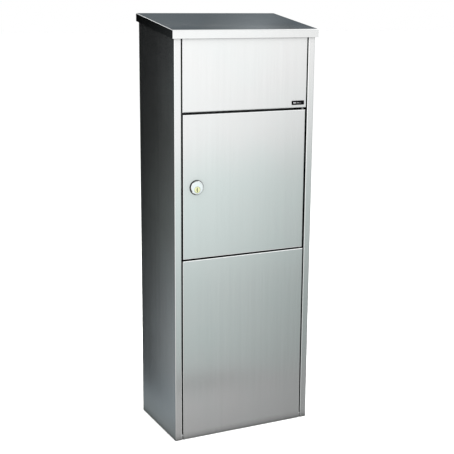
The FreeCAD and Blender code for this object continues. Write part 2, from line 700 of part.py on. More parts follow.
def right_hatch_spring():
    """Torsion spring that closes the hatch: its tail bears on the stop lip, its arm hooks into the cheek."""
    length = SPRING_X1 - SPRING_X0
    path = Part.Wire(Part.makeHelix(length / SPRING_TURNS, length, SPRING_R).Edges)
    section = Part.Wire(Part.makeCircle(SPRING_WIRE_R, V(SPRING_R, 0, 0), V(0, 1, 0)))
    coil = path.makePipeShell([section], True, True)
    arm = rod(SPRING_WIRE_R, (SPRING_R, 0, 0), (0, -1, 0), SPRING_ARM)
    knuckle = Part.makeSphere(SPRING_WIRE_R, V(SPRING_R, -SPRING_ARM, 0))
    hook = rod(SPRING_WIRE_R, (SPRING_R, -SPRING_ARM, 0), (0, 0, -1), SPRING_HOOK)
    tail_start = (0, -SPRING_R, length)
    tail_knuckle = Part.makeSphere(SPRING_WIRE_R, V(*tail_start))
    tail_length = math.hypot(SPRING_TAIL_UP, SPRING_TAIL_BACK)
    tail = rod(SPRING_WIRE_R, tail_start, (SPRING_TAIL_UP, -SPRING_TAIL_BACK, 0), tail_length)
    spring = joined(coil, arm, knuckle, hook, tail_knuckle, tail)
    spring.rotate(V(0, 0, 0), V(1, 0, 1), 180)            # the coil's axis turns from Z to X
    spring.translate(V(SPRING_X0, HATCH_AXIS_Y, HATCH_AXIS_Z))
    return spring


BADGE_CORNER, BADGE_BEVEL = 1.8, 0.3


def badge_plate():
    """Blank badge on the hatch."""
    x0, x1 = BADGE_X - BADGE_W / 2, BADGE_X + BADGE_W / 2
    z0, z1 = BADGE_Z - BADGE_H / 2, BADGE_Z + BADGE_H / 2
    outline = [(x, z, BADGE_CORNER) for x, z in ((x0, z0), (x1, z0), (x1, z1), (x0, z1))]
    plate = plate_xz(outline, FRONT - BADGE_T, FRONT)
    return plate.makeChamfer(BADGE_BEVEL, edges_at_front(plate, FRONT - BADGE_T))


PAD_R, PAD_X, PAD_UP = 5.0, 140.0, 1.0
PAD_ROUND, PAD_CLEAR = 0.8, 0.2


def hatch_bumpers():
    """Rubber pads on the upper rail that the closed hatch rests against."""
    length = RAIL_Y - FRONT - RETURN - PAD_CLEAR
    pads = []
    for side in SIDES:
        pad = rod(PAD_R, (side * PAD_X, RAIL_Y, HATCH_BOTTOM_Z + PAD_UP), (0, -1, 0), length)
        pads.append(pad.makeFillet(PAD_ROUND, edges_at_front(pad, RAIL_Y - length)))
    return Part.makeCompound(pads)


# ---------------------------------------------------------------- door
DOOR_BUSH_R = 3.5
DOOR_BUSH_DEEP = 7.0
DOOR_BUSH_FLANGE_R, DOOR_BUSH_FLANGE_T = 4.6, 0.6
HAT_HALF, HAT_FOOT, HAT_DEEP, HAT_SHORT = 22.0, 16.0, 10.0, 20.0

BRACKET_GAP = 0.3
UPPER_BRACKET_T = 2.5
LOWER_BRACKET_T = 2.0
LUG_R = 4.5
BRACKET_IN = 14.0                        # how far the bracket reaches in from the pin
BRACKET_ROOT = 4.0                       # depth of its root in front of the stop lip
PIN_REACH = 10.0
PIN_HEAD_R, PIN_HEAD_T = 3.2, 0.8


def lock_bore(radius, y0, y1):
    """Cylinder on the lock's axis."""
    return rod(radius, (LOCK_X, y0, LOCK_Z), (0, 1, 0), y1 - y0)


def door_panel():
    """Door skin folded back on all four edges, with the lock hole and a bush seat at each hinge corner."""
    panel = pan(DOOR_X0, DOOR_X1, DOOR_BOTTOM_Z, DOOR_TOP_Z, RETURN)
    seat_start = (DOOR_AXIS_X, DOOR_AXIS_Y, DOOR_BOTTOM_Z - DRILL)
    seats = rod(DOOR_BUSH_R, seat_start, (0, 0, 1), DOOR_TOP_Z - DOOR_BOTTOM_Z + 2 * DRILL)
    return panel.cut([seats, lock_bore(BARREL_R, FRONT - SHEET, FRONT + 2 * SHEET)])


def door_stiffener():
    """Hat section behind the door skin."""
    y = FRONT + SHEET
    crown = y + HAT_DEEP
    foot = HAT_HALF + HAT_FOOT
    profile = [
        (-foot, y), (-HAT_HALF, y), (-HAT_HALF, crown), (HAT_HALF, crown), (HAT_HALF, y), (foot, y),
    ]
    stiffener = folded_upright(profile, DOOR_BOTTOM_Z + HAT_SHORT, DOOR_TOP_Z - HAT_SHORT)
    stiffener.translate(V((DOOR_X0 + DOOR_X1) / 2, 0, 0))
    return stiffener


def door_bush(upper):
    """Flanged plastic bush in the door's folded edge."""
    outward = 1 if upper else -1
    start = (DOOR_AXIS_X, DOOR_AXIS_Y, DOOR_TOP_Z if upper else DOOR_BOTTOM_Z)
    body = rod(DOOR_BUSH_R, start, (0, 0, -outward), DOOR_BUSH_DEEP)
    flange = rod(DOOR_BUSH_FLANGE_R, start, (0, 0, outward), DOOR_BUSH_FLANGE_T)
    bore_start = (DOOR_AXIS_X, DOOR_AXIS_Y, start[2] - 2 * DOOR_BUSH_DEEP)
    bore = rod(HINGE_PIN_R + RUN_CLEAR, bore_start, (0, 0, 1), 4 * DOOR_BUSH_DEEP)
    return joined(body, flange).cut(bore)


def bracket_span(upper):
    """Lowest and highest Z of a hinge bracket."""
    if upper:
        z0 = DOOR_TOP_Z + DOOR_BUSH_FLANGE_T + BRACKET_GAP
        return z0, z0 + UPPER_BRACKET_T
    z1 = DOOR_BOTTOM_Z - DOOR_BUSH_FLANGE_T - BRACKET_GAP
    return z1 - LOWER_BRACKET_T, z1


def hinge_bracket(upper):
    """Lug in the gap over or under the door that holds the hinge pin."""
    z0, z1 = bracket_span(upper)
    x, y = DOOR_AXIS_X, DOOR_AXIS_Y
    inner_x, root_y = x - BRACKET_IN, STOP_Y - BRACKET_ROOT
    lug = rod(LUG_R, (x, y, z0), (0, 0, 1), z1 - z0)
    tail = block(x - LUG_R, x + LUG_R, y, STOP_Y, z0, z1)
    bridge = block(inner_x, x + LUG_R, root_y, STOP_Y, z0, z1)
    root = block(inner_x, OPEN_X - STOP, root_y, RAIL_Y, z0, z1)
    bore = rod(HINGE_PIN_R, (x, y, z0 - DRILL), (0, 0, 1), 2 * DRILL)
    return joined(lug, tail, bridge, root).cut(bore)


def upper_hinge_pin():
    """Headed pin pressed into the upper bracket, running in the door's bush."""
    z0, z1 = bracket_span(True)
    shank = rod(HINGE_PIN_R, (DOOR_AXIS_X, DOOR_AXIS_Y, z0 - PIN_REACH), (0, 0, 1), PIN_REACH + z1 - z0)
    head = rod(PIN_HEAD_R, (DOOR_AXIS_X, DOOR_AXIS_Y, z1), (0, 0, 1), PIN_HEAD_T)
    return joined(shank, head)


def lower_hinge_pin():
    """Pin pressed into the lower bracket, running in the door's bush."""
    z0, z1 = bracket_span(False)
    return rod(HINGE_PIN_R, (DOOR_AXIS_X, DOOR_AXIS_Y, z0), (0, 0, 1), PIN_REACH + z1 - z0)


SEAL_CLEAR = 0.2                         # in front of the seal, to the closed door
SEAL_ROUND = 1.2
SEAL_SIDE, SEAL_W = 1.6, 10.4            # from the reveal, and the width of the upright strip
SEAL_H = 7.5                             # height of the strips at the door's top and bottom
SEAL_CORNER = 8.0                        # from the door's top and bottom to the upright strip's ends
SEAL_END, SEAL_BRACKET = 0.5, 2.0        # inside the door's edges, and short of the hinge brackets


def seal_strip(x0, x1, rear, z0, z1):
    """Rubber strip whose long front edges are rounded."""
    front = FRONT + RETURN + SEAL_CLEAR
    strip = block(x0, x1, front, rear, z0, z1)
    longest = max(x1 - x0, z1 - z0)
    long_edges = [edge for edge in edges_at_front(strip, front) if edge.Length > longest - TINY]
    return strip.makeFillet(SEAL_ROUND, long_edges)


def door_seal():
    """Rubber strips that the door closes against: lock side, top and bottom."""
    side_x = -OPEN_X + SEAL_SIDE
    x0, x1 = -OPEN_X + STOP + SEAL_END, DOOR_AXIS_X - BRACKET_IN - SEAL_BRACKET
    low, high = DOOR_BOTTOM_Z + SEAL_END, DOOR_TOP_Z - SEAL_END
    side_z0, side_z1 = DOOR_BOTTOM_Z + SEAL_CORNER, DOOR_TOP_Z - SEAL_CORNER
    upright = seal_strip(side_x, side_x + SEAL_W, STOP_Y, side_z0, side_z1)
    top = seal_strip(x0, x1, RAIL_Y, high - SEAL_H, high)
    bottom = seal_strip(x0, x1, RAIL_Y, low, low + SEAL_H)
    return Part.makeCompound([upright, top, bottom])


# ---------------------------------------------------------------- lock
BARREL_END = FRONT + BARREL_END_DEEP
LOCK_BACK_Y = FRONT - GASKET_T           # rear face of the lock's face plate
LOCK_FACE_Y = LOCK_BACK_Y - LOCK_FACE_T
FACE_CHAMFER = 1.1
DISH_RIM, DISH_DEEP = 2.6, 0.6
PLUG_PROUD, PLUG_CHAMFER = 0.3, 0.7
TAIL_HALF = 3.5
CAM_GAP = 0.6
CAM_Y = BARREL_END + CAM_GAP
CAM_LOW_R, CAM_HIGH_R = 6.0, 5.0
LOCK_WASHER_R, LOCK_WASHER_T = 17.5, 1.0
LOCK_NUT_FLATS, LOCK_NUT_T = 32.0, 4.0
CAM_WASHER_R, CAM_WASHER_T = 6.5, 1.0
CAM_SCREW_FLATS, CAM_SCREW_H = 8.0, 3.0
KEYWAY_DEEP = 14.0


def plug_bore(radius, y0, y1):
    """Cylinder on the plug's axis."""
    return rod(radius, (LOCK_X, y0, PLUG_Z), (0, 1, 0), y1 - y0)


def plug_square(half, y0, y1):
    """Square bar on the plug's axis."""
    return block(LOCK_X - half, LOCK_X + half, y0, y1, PLUG_Z - half, PLUG_Z + half)


def lock_body():
    """Round lock face and its barrel; the plug sits low in it because the pins are above."""
    face = lock_bore(LOCK_FACE_R, LOCK_FACE_Y, LOCK_BACK_Y)
    face = face.makeChamfer(FACE_CHAMFER, edges_at_front(face, LOCK_FACE_Y))
    dish = lock_bore(LOCK_FACE_R - DISH_RIM, LOCK_FACE_Y, LOCK_FACE_Y + DISH_DEEP)
    barrel = lock_bore(BARREL_R, LOCK_BACK_Y, BARREL_END)
    bore = plug_bore(PLUG_R + RUN_CLEAR, LOCK_FACE_Y - SHEET, BARREL_END + SHEET)
    return joined(face, barrel).cut([dish, bore])


def lock_gasket():
    """Rubber ring that keeps the wet out, a little wider than the lock's face."""
    ring = lock_bore(GASKET_R, LOCK_BACK_Y, FRONT)
    return ring.cut(lock_bore(BARREL_R, LOCK_BACK_Y, FRONT))


def keyway():
    """Stepped slot for a key, cut into the plug's face."""
    front = LOCK_FACE_Y - SHEET
    steps = [(-0.9, 0.9, 0.4, 4.6), (-2.0, -0.2, -2.2, 1.2), (-0.9, 1.1, -4.9, -1.4)]   # x0, x1, z0, z1
    slots = [
        block(LOCK_X + x0, LOCK_X + x1, front, front + KEYWAY_DEEP, PLUG_Z + z0, PLUG_Z + z1)
        for x0, x1, z0, z1 in steps
    ]
    return joined(*slots)


def lock_plug():
    """Turning plug with a keyway in front and a square tail for the cam behind."""
    face_y = LOCK_FACE_Y + DISH_DEEP - PLUG_PROUD
    body = plug_bore(PLUG_R, face_y, BARREL_END)
    body = body.makeChamfer(PLUG_CHAMFER, edges_at_front(body, face_y))
    return joined(body, plug_square(TAIL_HALF, BARREL_END, CAM_Y + CAM_T)).cut(keyway())


def lock_cam():
    """Flat cam on the plug's tail, upright when unlocked."""
    x0, x1 = LOCK_X - CAM_W / 2, LOCK_X + CAM_W / 2
    low, high = PLUG_Z - CAM_W / 2, PLUG_Z + CAM_REACH
    outline = [(x0, low, CAM_LOW_R), (x1, low, CAM_LOW_R), (x1, high, CAM_HIGH_R), (x0, high, CAM_HIGH_R)]
    plate = plate_xz(outline, CAM_Y, CAM_Y + CAM_T)
    return plate.cut(plug_square(TAIL_HALF, CAM_Y - CAM_T, CAM_Y + 2 * CAM_T))


def cam_screw():
    """Screw and washer that hold the cam on the tail."""
    washer_y = CAM_Y + CAM_T
    head_y = washer_y + CAM_WASHER_T
    washer = plug_bore(CAM_WASHER_R, washer_y, head_y)
    return joined(washer, hexagon(CAM_SCREW_FLATS, (LOCK_X, head_y, PLUG_Z), (0, 1, 0), CAM_SCREW_H))


def lock_washer():
    """Washer under the lock nut."""
    y0 = FRONT + SHEET
    y1 = y0 + LOCK_WASHER_T
    return lock_bore(LOCK_WASHER_R, y0, y1).cut(lock_bore(BARREL_R, y0, y1))


def lock_nut():
    """Thin nut that clamps the lock to the door."""
    y0 = FRONT + SHEET + LOCK_WASHER_T
    nut = hexagon(LOCK_NUT_FLATS, (LOCK_X, y0, LOCK_Z), (0, 1, 0), LOCK_NUT_T)
    return nut.cut(lock_bore(BARREL_R, y0, y0 + LOCK_NUT_T))


# ---------------------------------------------------------------- all the pieces
def build():
    """Every node's shape, by name."""
    left_panel = left_side_panel()
    left_angle = left_roof_angle()
    left_support = left_floor_support()
    right_bush = right_rod_bush()
    right_spring = right_hatch_spring()
    cheek = right_cheek()
    return {
        "left_side_panel": left_panel,
        "right_side_panel": mirrored(left_panel),
        "back_panel": back_panel(),
        "back_rivets": back_rivets(),
        "roof_cap": roof_cap(),
        "left_roof_angle": left_angle,
        "right_roof_angle": mirrored(left_angle),
        "roof_studs": roof_studs(),
        "roof_nuts": roof_nuts(),
        "base_plate": base_plate(),
        "bottom_sill": bottom_sill(),
        "upper_cross_rail": cross_rail(CHUTE_Z),
        "lower_cross_rail": cross_rail(FLOOR_Z),
        "header_rail": header_rail(),
        "lower_front_panel": lower_front_panel(),
        "lower_panel_spacers": lower_panel_spacers(),
        "lower_panel_screws": lower_panel_screws(),
        "lower_panel_nuts": lower_panel_nuts(),
        "storage_floor": storage_floor(),
        "left_floor_support": left_support,
        "right_floor_support": mirrored(left_support),
        "drop_chute": drop_chute(),
        "door_seal": door_seal(),
        "hatch_bumpers": hatch_bumpers(),
        "upper_hinge_bracket": hinge_bracket(True),
        "lower_hinge_bracket": hinge_bracket(False),
        "upper_hinge_pin": upper_hinge_pin(),
        "lower_hinge_pin": lower_hinge_pin(),
        "left_rod_bush": mirrored(right_bush),
        "right_rod_bush": right_bush,
        "left_hatch_spring": mirrored(right_spring),
        "right_hatch_spring": right_spring,
        "hatch_panel": hatch_panel(),
        "left_cheek": mirrored(cheek),
        "right_cheek": cheek,
        "baffle_plate": baffle_plate(),
        "hatch_rod": hatch_rod(),
        "rod_clips": rod_clips(),
        "hatch_stop_buffers": hatch_stop_buffers(),
        "badge_plate": badge_plate(),
        "door_panel": door_panel(),
        "door_stiffener": door_stiffener(),
        "upper_door_bush": door_bush(True),
        "lower_door_bush": door_bush(False),
        "lock_body": lock_body(),
        "lock_gasket": lock_gasket(),
        "lock_washer": lock_washer(),
        "lock_nut": lock_nut(),
        "lock_plug": lock_plug(),
        "lock_cam": lock_cam(),
        "cam_screw": cam_screw(),
    }


def main():
    os.makedirs("parts", exist_ok=True)
    for old in os.listdir("parts"):
        if old.endswith(".step"):
            os.remove(os.path.join("parts", old))
    for node, shape in build().items():
        solids = shape.Solids
        good = shape.isValid() and solids and all(s.isClosed() and s.Volume > 0 for s in solids)
        volume = sum(s.Volume for s in solids) / 1000
        print(f"{node}: {len(solids)} solid(s), {volume:.2f} cm3, ok={bool(good)}")
        shape.exportStep(os.path.join("parts", node + ".step"))


main()
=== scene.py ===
import json
import math

import bmesh
import bpy
from mathutils import Matrix, Vector


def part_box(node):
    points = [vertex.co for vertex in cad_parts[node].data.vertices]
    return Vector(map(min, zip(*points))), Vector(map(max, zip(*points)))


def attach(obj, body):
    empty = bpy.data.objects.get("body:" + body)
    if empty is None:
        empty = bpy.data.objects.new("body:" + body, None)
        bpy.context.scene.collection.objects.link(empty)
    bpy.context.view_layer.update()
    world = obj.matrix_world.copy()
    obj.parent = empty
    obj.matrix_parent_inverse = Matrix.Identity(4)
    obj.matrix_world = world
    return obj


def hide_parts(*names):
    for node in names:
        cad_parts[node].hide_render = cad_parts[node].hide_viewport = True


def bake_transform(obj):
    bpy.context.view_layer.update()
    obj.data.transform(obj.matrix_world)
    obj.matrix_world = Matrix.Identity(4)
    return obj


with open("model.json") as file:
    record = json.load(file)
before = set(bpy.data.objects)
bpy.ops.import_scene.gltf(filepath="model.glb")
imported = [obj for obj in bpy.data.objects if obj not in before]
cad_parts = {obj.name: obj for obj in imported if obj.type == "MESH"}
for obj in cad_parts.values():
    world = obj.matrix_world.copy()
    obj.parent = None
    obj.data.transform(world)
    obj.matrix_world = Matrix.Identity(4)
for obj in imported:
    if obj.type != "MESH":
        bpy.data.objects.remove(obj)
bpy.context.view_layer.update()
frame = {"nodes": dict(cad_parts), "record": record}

NODES = frame["nodes"]
MM = 0.001

# ---------------------------------------------------------------- where things are
CAMERA_AT = (-1.1240, -2.3041, 1.0949)
CAMERA_YAW, CAMERA_PITCH, CAMERA_ROLL = 26.098, 12.703, 0.423     # degrees: to the right, down, over
CAMERA_LENS, CAMERA_SENSOR = 80.11, 36.0                          # mm

FLOOR_SIZE, BACKDROP_RADIUS = 60.0, 45.0
BACKDROP_SEGMENTS, BACKDROP_RINGS = 48, 24


# ---------------------------------------------------------------- materials
BENT, FLAT = 0.94, 0.982      # longest part of a normal on a fold, and on a sheet or the sloping roof


def rgba(colour):
    return (*colour, 1.0)


class Graph:
    """A material's or world's node tree, with short calls for the nodes used here."""

    def __init__(self, owner):
        owner.use_nodes = True
        self.tree = owner.node_tree
        self.tree.nodes.clear()

    def add(self, kind, inputs=None, **settings):
        node = self.tree.nodes.new("ShaderNode" + kind)
        for name, value in settings.items():
            setattr(node, name, value)
        for name, value in (inputs or {}).items():
            self.set(node, name, value)
        return node

    def set(self, node, name, value):
        """Links an output to a node's input, or puts a plain value on it."""
        if isinstance(value, bpy.types.NodeSocket):
            self.tree.links.new(value, node.inputs[name])
        else:
            node.inputs[name].default_value = value

    def math(self, operation, a, b=None):
        node = self.add("Math", {0: a}, operation=operation)
        if b is not None:
            self.set(node, 1, b)
        return node.outputs[0]

    def stretched_noise(self, vector, scale, detail=2.0, rough=0.5):
        """Noise whose scale differs along X, Y and Z; scale is in features per metre."""
        placed = self.add("Mapping", {"Vector": vector, "Scale": scale})
        inputs = {"Vector": placed.outputs[0], "Scale": 1.0, "Detail": detail, "Roughness": rough}
        return self.add("TexNoise", inputs).outputs[0]

    def ramp(self, value, stops):
        """Maps a value through (position, colour or grey) stops."""
        node = self.add("ValToRGB", {"Fac": value})
        elements = node.color_ramp.elements
        while len(elements) < len(stops):
            elements.new(1.0)
        for element, (position, colour) in zip(elements, stops):
            element.position = position
            element.color = colour if isinstance(colour, tuple) else rgba((colour,) * 3)
        return node.outputs[0]

    def bends(self):
        """1 on folds and rounded corners, 0 on faces that look nearly along X, Y or Z."""
        normal = self.add("TexCoord").outputs["Normal"]
        absolute = self.add("VectorMath", {0: normal}, operation="ABSOLUTE")
        parts = self.add("SeparateXYZ", {0: absolute.outputs[0]})
        longest = self.math("MAXIMUM", parts.outputs["Y"], parts.outputs["Z"])
        longest = self.math("MAXIMUM", parts.outputs["X"], longest)
        return self.ramp(longest, [(BENT, 1.0), (FLAT, 0.0)])

    def spread(self, value, low, high, start=0.0, end=1.0):
        """A value from start to end carried to the range low to high."""
        limits = {"From Min": start, "From Max": end, "To Min": low, "To Max": high}
        return self.add("MapRange", {"Value": value, **limits}).outputs[0]

    def weighted(self, *terms):
        """The sum of (value, weight) terms."""
        total = None
        for value, weight in terms:
            term = self.math("MULTIPLY", value, weight)
            total = term if total is None else self.math("ADD", total, term)
        return total

    def mix(self, share, first, second, blend="MIX"):
        """Two colours mixed or multiplied; each is an output or a plain colour with its alpha."""
        inputs = {"Factor": share, 6: first, 7: second}
        return self.add("Mix", inputs, data_type="RGBA", blend_type=blend).outputs[2]

    def tint(self, value, dark, light):
        """A colour between dark and light."""
        return self.mix(value, rgba(dark), rgba(light))

    def with_painted_shade(self, unshaded, reach, stops):
        """A colour darkened by painted shade in gaps and corners, out to reach from them."""
        open_air = self.add("AmbientOcclusion", {"Distance": reach}, samples=SHADE_SAMPLES).outputs["AO"]
        return self.mix(1.0, unshaded, self.ramp(open_air, stops), "MULTIPLY")


def material(name):
    made = bpy.data.materials.new(name)
    graph = Graph(made)
    shader = graph.add("BsdfPrincipled")
    output = graph.add("OutputMaterial")
    graph.set(output, "Surface", shader.outputs[0])
    return made, graph, shader


def scaled(colour, factor):
    return tuple(min(1.0, c * factor) for c in colour)


WARM, COLD = (1.0, 0.972, 0.975), (0.965, 1.0, 0.998)       # faint colour drift over a sheet
# Painted shade: ambient occlusion darkens the base colour in gaps, in corners and under the roof's lip,
# where shade falls.
SHADE_SAMPLES = 4
CREVICE = 0.024                       # how far the painted shade in gaps and corners reaches on sheets, m
CREVICE_STOPS = [(0.38, 0.0), (0.60, 0.50), (0.83, 1.0)]
SMALL_CREVICE = 0.004                 # the same on locks, screws and rods
SMALL_CREVICE_STOPS = [(0.30, 0.02), (0.75, 1.0)]
BEND_HIGHLIGHT = 1.42                         # how much lighter the folds are painted: a painted highlight along each bend
POLISH_SMOOTHING = 0.04               # and how much less rough
FINE_SHARE, STREAK_SHARE, BAND_SHARE = 0.5, 0.34, 0.16      # of the brushing's three widths of line
LINE_ROUGHNESS, CLOUD_ROUGHNESS, SMEAR_ROUGHNESS = 0.05, 0.02, 0.01     # each adds or takes this much
CLOUD_SCALE, SMEAR_SCALE = 7.0, 38.0                        # soft patches, in features per metre
BRUSH_DEPTH, SCRATCH_DEPTH, SKIN_DEPTH = 0.00004, 0.00003, 0.00006     # heights for the bump maps, m
SCRATCH_SCALES = (900.0, 2600.0, 700.0)
MOTTLE_SCALE, DUST_SCALE = 420.0, 60.0
MOTTLE_SHARE, EDGE_SHARE = 0.8, 0.4                         # in the tone of plated metal
GRAIN_SCALES = {"X": (14.0, 1300.0, 1300.0), "Y": (1300.0, 14.0, 1300.0), "Z": (1300.0, 1300.0, 14.0)}
STREAK_SCALES = {"X": (1.6, 160.0, 160.0), "Y": (160.0, 1.6, 160.0), "Z": (160.0, 160.0, 1.6)}
BAND_SCALES = {"X": (1.2, 34.0, 34.0), "Y": (34.0, 1.2, 34.0), "Z": (34.0, 34.0, 1.2)}


def brushed(name, colour, roughness, grain, anisotropy, streaks=0.05, bump=0.25):
    """Brushed sheet metal; grain is the axis that the brushing runs along."""
    made, graph, shader = material(name)
    place = graph.add("TexCoord").outputs["Object"]
    fine = graph.stretched_noise(place, GRAIN_SCALES[grain], 3.0, 0.65)
    streak = graph.stretched_noise(place, STREAK_SCALES[grain], 3.0, 0.6)
    band = graph.stretched_noise(place, BAND_SCALES[grain])
    lines = graph.weighted((fine, FINE_SHARE), (streak, STREAK_SHARE), (band, BAND_SHARE))
    cloud = graph.add("TexNoise", {"Vector": place, "Scale": CLOUD_SCALE, "Detail": 3.0}).outputs[0]
    smear = graph.add("TexNoise", {"Vector": place, "Scale": SMEAR_SCALE, "Detail": 2.0}).outputs[0]
    # Painted highlight: the folds are made lighter so that they shine as bright lines.
    fold_mask = graph.bends()
    sheet = graph.tint(lines, scaled(colour, 1 - 2 * streaks), scaled(colour, 1 + 2 * streaks))
    unshaded = graph.mix(fold_mask, sheet, rgba(scaled(colour, BEND_HIGHLIGHT)))
    # Painted shade: darker in gaps, in corners and under the roof's lip.
    gap_shaded = graph.with_painted_shade(unshaded, CREVICE, CREVICE_STOPS)
    graph.set(shader, "Base Color", graph.mix(1.0, gap_shaded, graph.tint(cloud, WARM, COLD), "MULTIPLY"))
    rough = graph.spread(lines, roughness - LINE_ROUGHNESS, roughness + LINE_ROUGHNESS)
    rough = graph.math("ADD", rough, graph.spread(cloud, -CLOUD_ROUGHNESS, CLOUD_ROUGHNESS))
    rough = graph.math("ADD", rough, graph.spread(smear, -SMEAR_ROUGHNESS, SMEAR_ROUGHNESS))
    rough = graph.math("SUBTRACT", rough, graph.math("MULTIPLY", fold_mask, POLISH_SMOOTHING))
    graph.set(shader, "Roughness", rough)
    relief = graph.add("Bump", {"Height": fine, "Strength": bump, "Distance": BRUSH_DEPTH})
    graph.set(shader, "Normal", relief.outputs[0])
    tangent = graph.add("Tangent", direction_type="RADIAL", axis=grain)
    graph.set(shader, "Tangent", tangent.outputs[0])
    graph.set(shader, "Metallic", 1.0)
    graph.set(shader, "Anisotropic", anisotropy)
    return made


def plated(name, colour, roughness, mottle=0.06):
    """Smooth or plated metal with faint mottling, lighter on its sharp edges, with painted shade in its
    small gaps.
    """
    made, graph, shader = material(name)
    place = graph.add("TexCoord").outputs["Object"]
    mottled = graph.add("TexNoise", {"Vector": place, "Scale": MOTTLE_SCALE, "Detail": 4.0}).outputs[0]
    scratches = graph.stretched_noise(place, SCRATCH_SCALES)
    edge = graph.ramp(graph.add("NewGeometry").outputs["Pointiness"], [(0.5, 0.0), (0.6, 1.0)])
    tone = graph.weighted((mottled, MOTTLE_SHARE), (edge, EDGE_SHARE))
    unshaded = graph.tint(tone, scaled(colour, 1 - 2 * mottle), scaled(colour, 1 + 2 * mottle))
    graph.set(shader, "Base Color", graph.with_painted_shade(unshaded, SMALL_CREVICE, SMALL_CREVICE_STOPS))
    graph.set(shader, "Roughness", graph.spread(mottled, roughness * 0.7, roughness * 1.3))
    relief = graph.add("Bump", {"Height": scratches, "Strength": 0.15, "Distance": SCRATCH_DEPTH})
    graph.set(shader, "Normal", relief.outputs[0])
    graph.set(shader, "Metallic", 1.0)
    return made


def moulded(name, colour, roughness, skin_scale=900.0, bump=0.4, gloss=0.5):
    """Moulded rubber or plastic with a fine skin texture."""
    made, graph, shader = material(name)
    place = graph.add("TexCoord").outputs["Object"]
    skin = graph.add("TexNoise", {"Vector": place, "Scale": skin_scale, "Detail": 4.0}).outputs[0]
    dust = graph.add("TexNoise", {"Vector": place, "Scale": DUST_SCALE, "Detail": 3.0}).outputs[0]
    graph.set(shader, "Base Color", graph.tint(dust, scaled(colour, 0.8), scaled(colour, 1.35)))
    graph.set(shader, "Roughness", graph.spread(skin, roughness - 0.08, roughness + 0.08))
    graph.set(shader, "Specular IOR Level", gloss)
    relief = graph.add("Bump", {"Height": skin, "Strength": bump, "Distance": SKIN_DEPTH})
    graph.set(shader, "Normal", relief.outputs[0])
    return made


STAINLESS = (0.674, 0.680, 0.677)
MILL_STEEL = {"grain": "X", "anisotropy": 0.5, "streaks": 0.04, "bump": 0.15}

front_steel = brushed("brushed_front", STAINLESS, roughness=0.185, grain="Z", anisotropy=0.84)
roof_steel = brushed("brushed_roof", STAINLESS, roughness=0.14, grain="Y", anisotropy=0.60)
back_steel = brushed("mill_back", STAINLESS, roughness=0.37, grain="Z", anisotropy=0.50, streaks=0.04)
# Inside sheets: plain mill finish, and darker than the outside sheets as painted shade, so that the gaps
# which show them read dark.
inner_steel = brushed("inner_sheet", (0.50, 0.51, 0.51), roughness=0.36, **MILL_STEEL)
# Painted shade: the hinge brackets sit back in the dark, and their colour is darkened to stand in for
# that shade.
bracket_steel = brushed("shaded_bracket", (0.20, 0.205, 0.205), roughness=0.40, **MILL_STEEL)
bright_steel = plated("bright_rod", (0.66, 0.66, 0.67), roughness=0.16)
zinc = plated("zinc_plate", (0.58, 0.59, 0.61), roughness=0.30, mottle=0.10)
spring_wire = plated("spring_wire", (0.30, 0.30, 0.31), roughness=0.30)
chrome = plated("lock_chrome", (0.80, 0.80, 0.81), roughness=0.10, mottle=0.03)
brass = plated("plug_brass", (0.80, 0.78, 0.46), roughness=0.22)
rubber = moulded("black_rubber", (0.025, 0.025, 0.026), roughness=0.62)
bush_plastic = moulded("bush_plastic", (0.05, 0.05, 0.055), roughness=0.45, skin_scale=500.0, bump=0.2)
badge_black = moulded(
    "badge_black", (0.002, 0.002, 0.003), roughness=0.34, skin_scale=300.0, bump=0.05, gloss=0.04
)

LOOKS = {
    "brushed_stainless": front_steel,
    "inner_stainless": inner_steel,
    "bright_steel": bright_steel,
    "zinc_plated_steel": zinc,
    "spring_steel": spring_wire,
    "black_rubber": rubber,
    "bush_plastic": bush_plastic,
    "lock_chrome": chrome,
    "plug_brass": brass,
    "badge_black": badge_black,
}
OWN_LOOKS = {
    "roof_cap": roof_steel,
    "back_panel": back_steel,
    "upper_hinge_bracket": bracket_steel,
    "lower_hinge_bracket": bracket_steel,
}

for part in frame["record"]["subparts"]:
    look = OWN_LOOKS.get(part["node"], LOOKS[part["material_slot"]])
    mesh = NODES[part["node"]].data
    mesh.materials.clear()
    mesh.materials.append(look)


# ---------------------------------------------------------------- pieces made here
JOINTS = {joint["name"]: joint for joint in frame["record"]["behaviour"]["joints"]}
HATCH_AXIS = Vector(JOINTS["hatch_hinge"]["pos_m"])
SPRING_R, SPRING_WIRE_R, SPRING_TURNS = 5.6 * MM, 0.8 * MM, 4.75    # coil and wire radius
SPRING_CHEEK_X, SPRING_WALL_X = 157.2 * MM, 165.7 * MM         # middle of the wire at the coil's two ends
SPRING_ARM, SPRING_HOOK, SPRING_HOOK_BEND = 30.0 * MM, 3.3 * MM, 1.6 * MM     # lengths, bend radius
SPRING_TAIL = Vector((0.0, 3.5, 16.0)) * MM                    # from the coil's end at the wall
POINTS_PER_TURN, HOOK_STEPS, WIRE_ROUNDNESS = 24, 6, 3


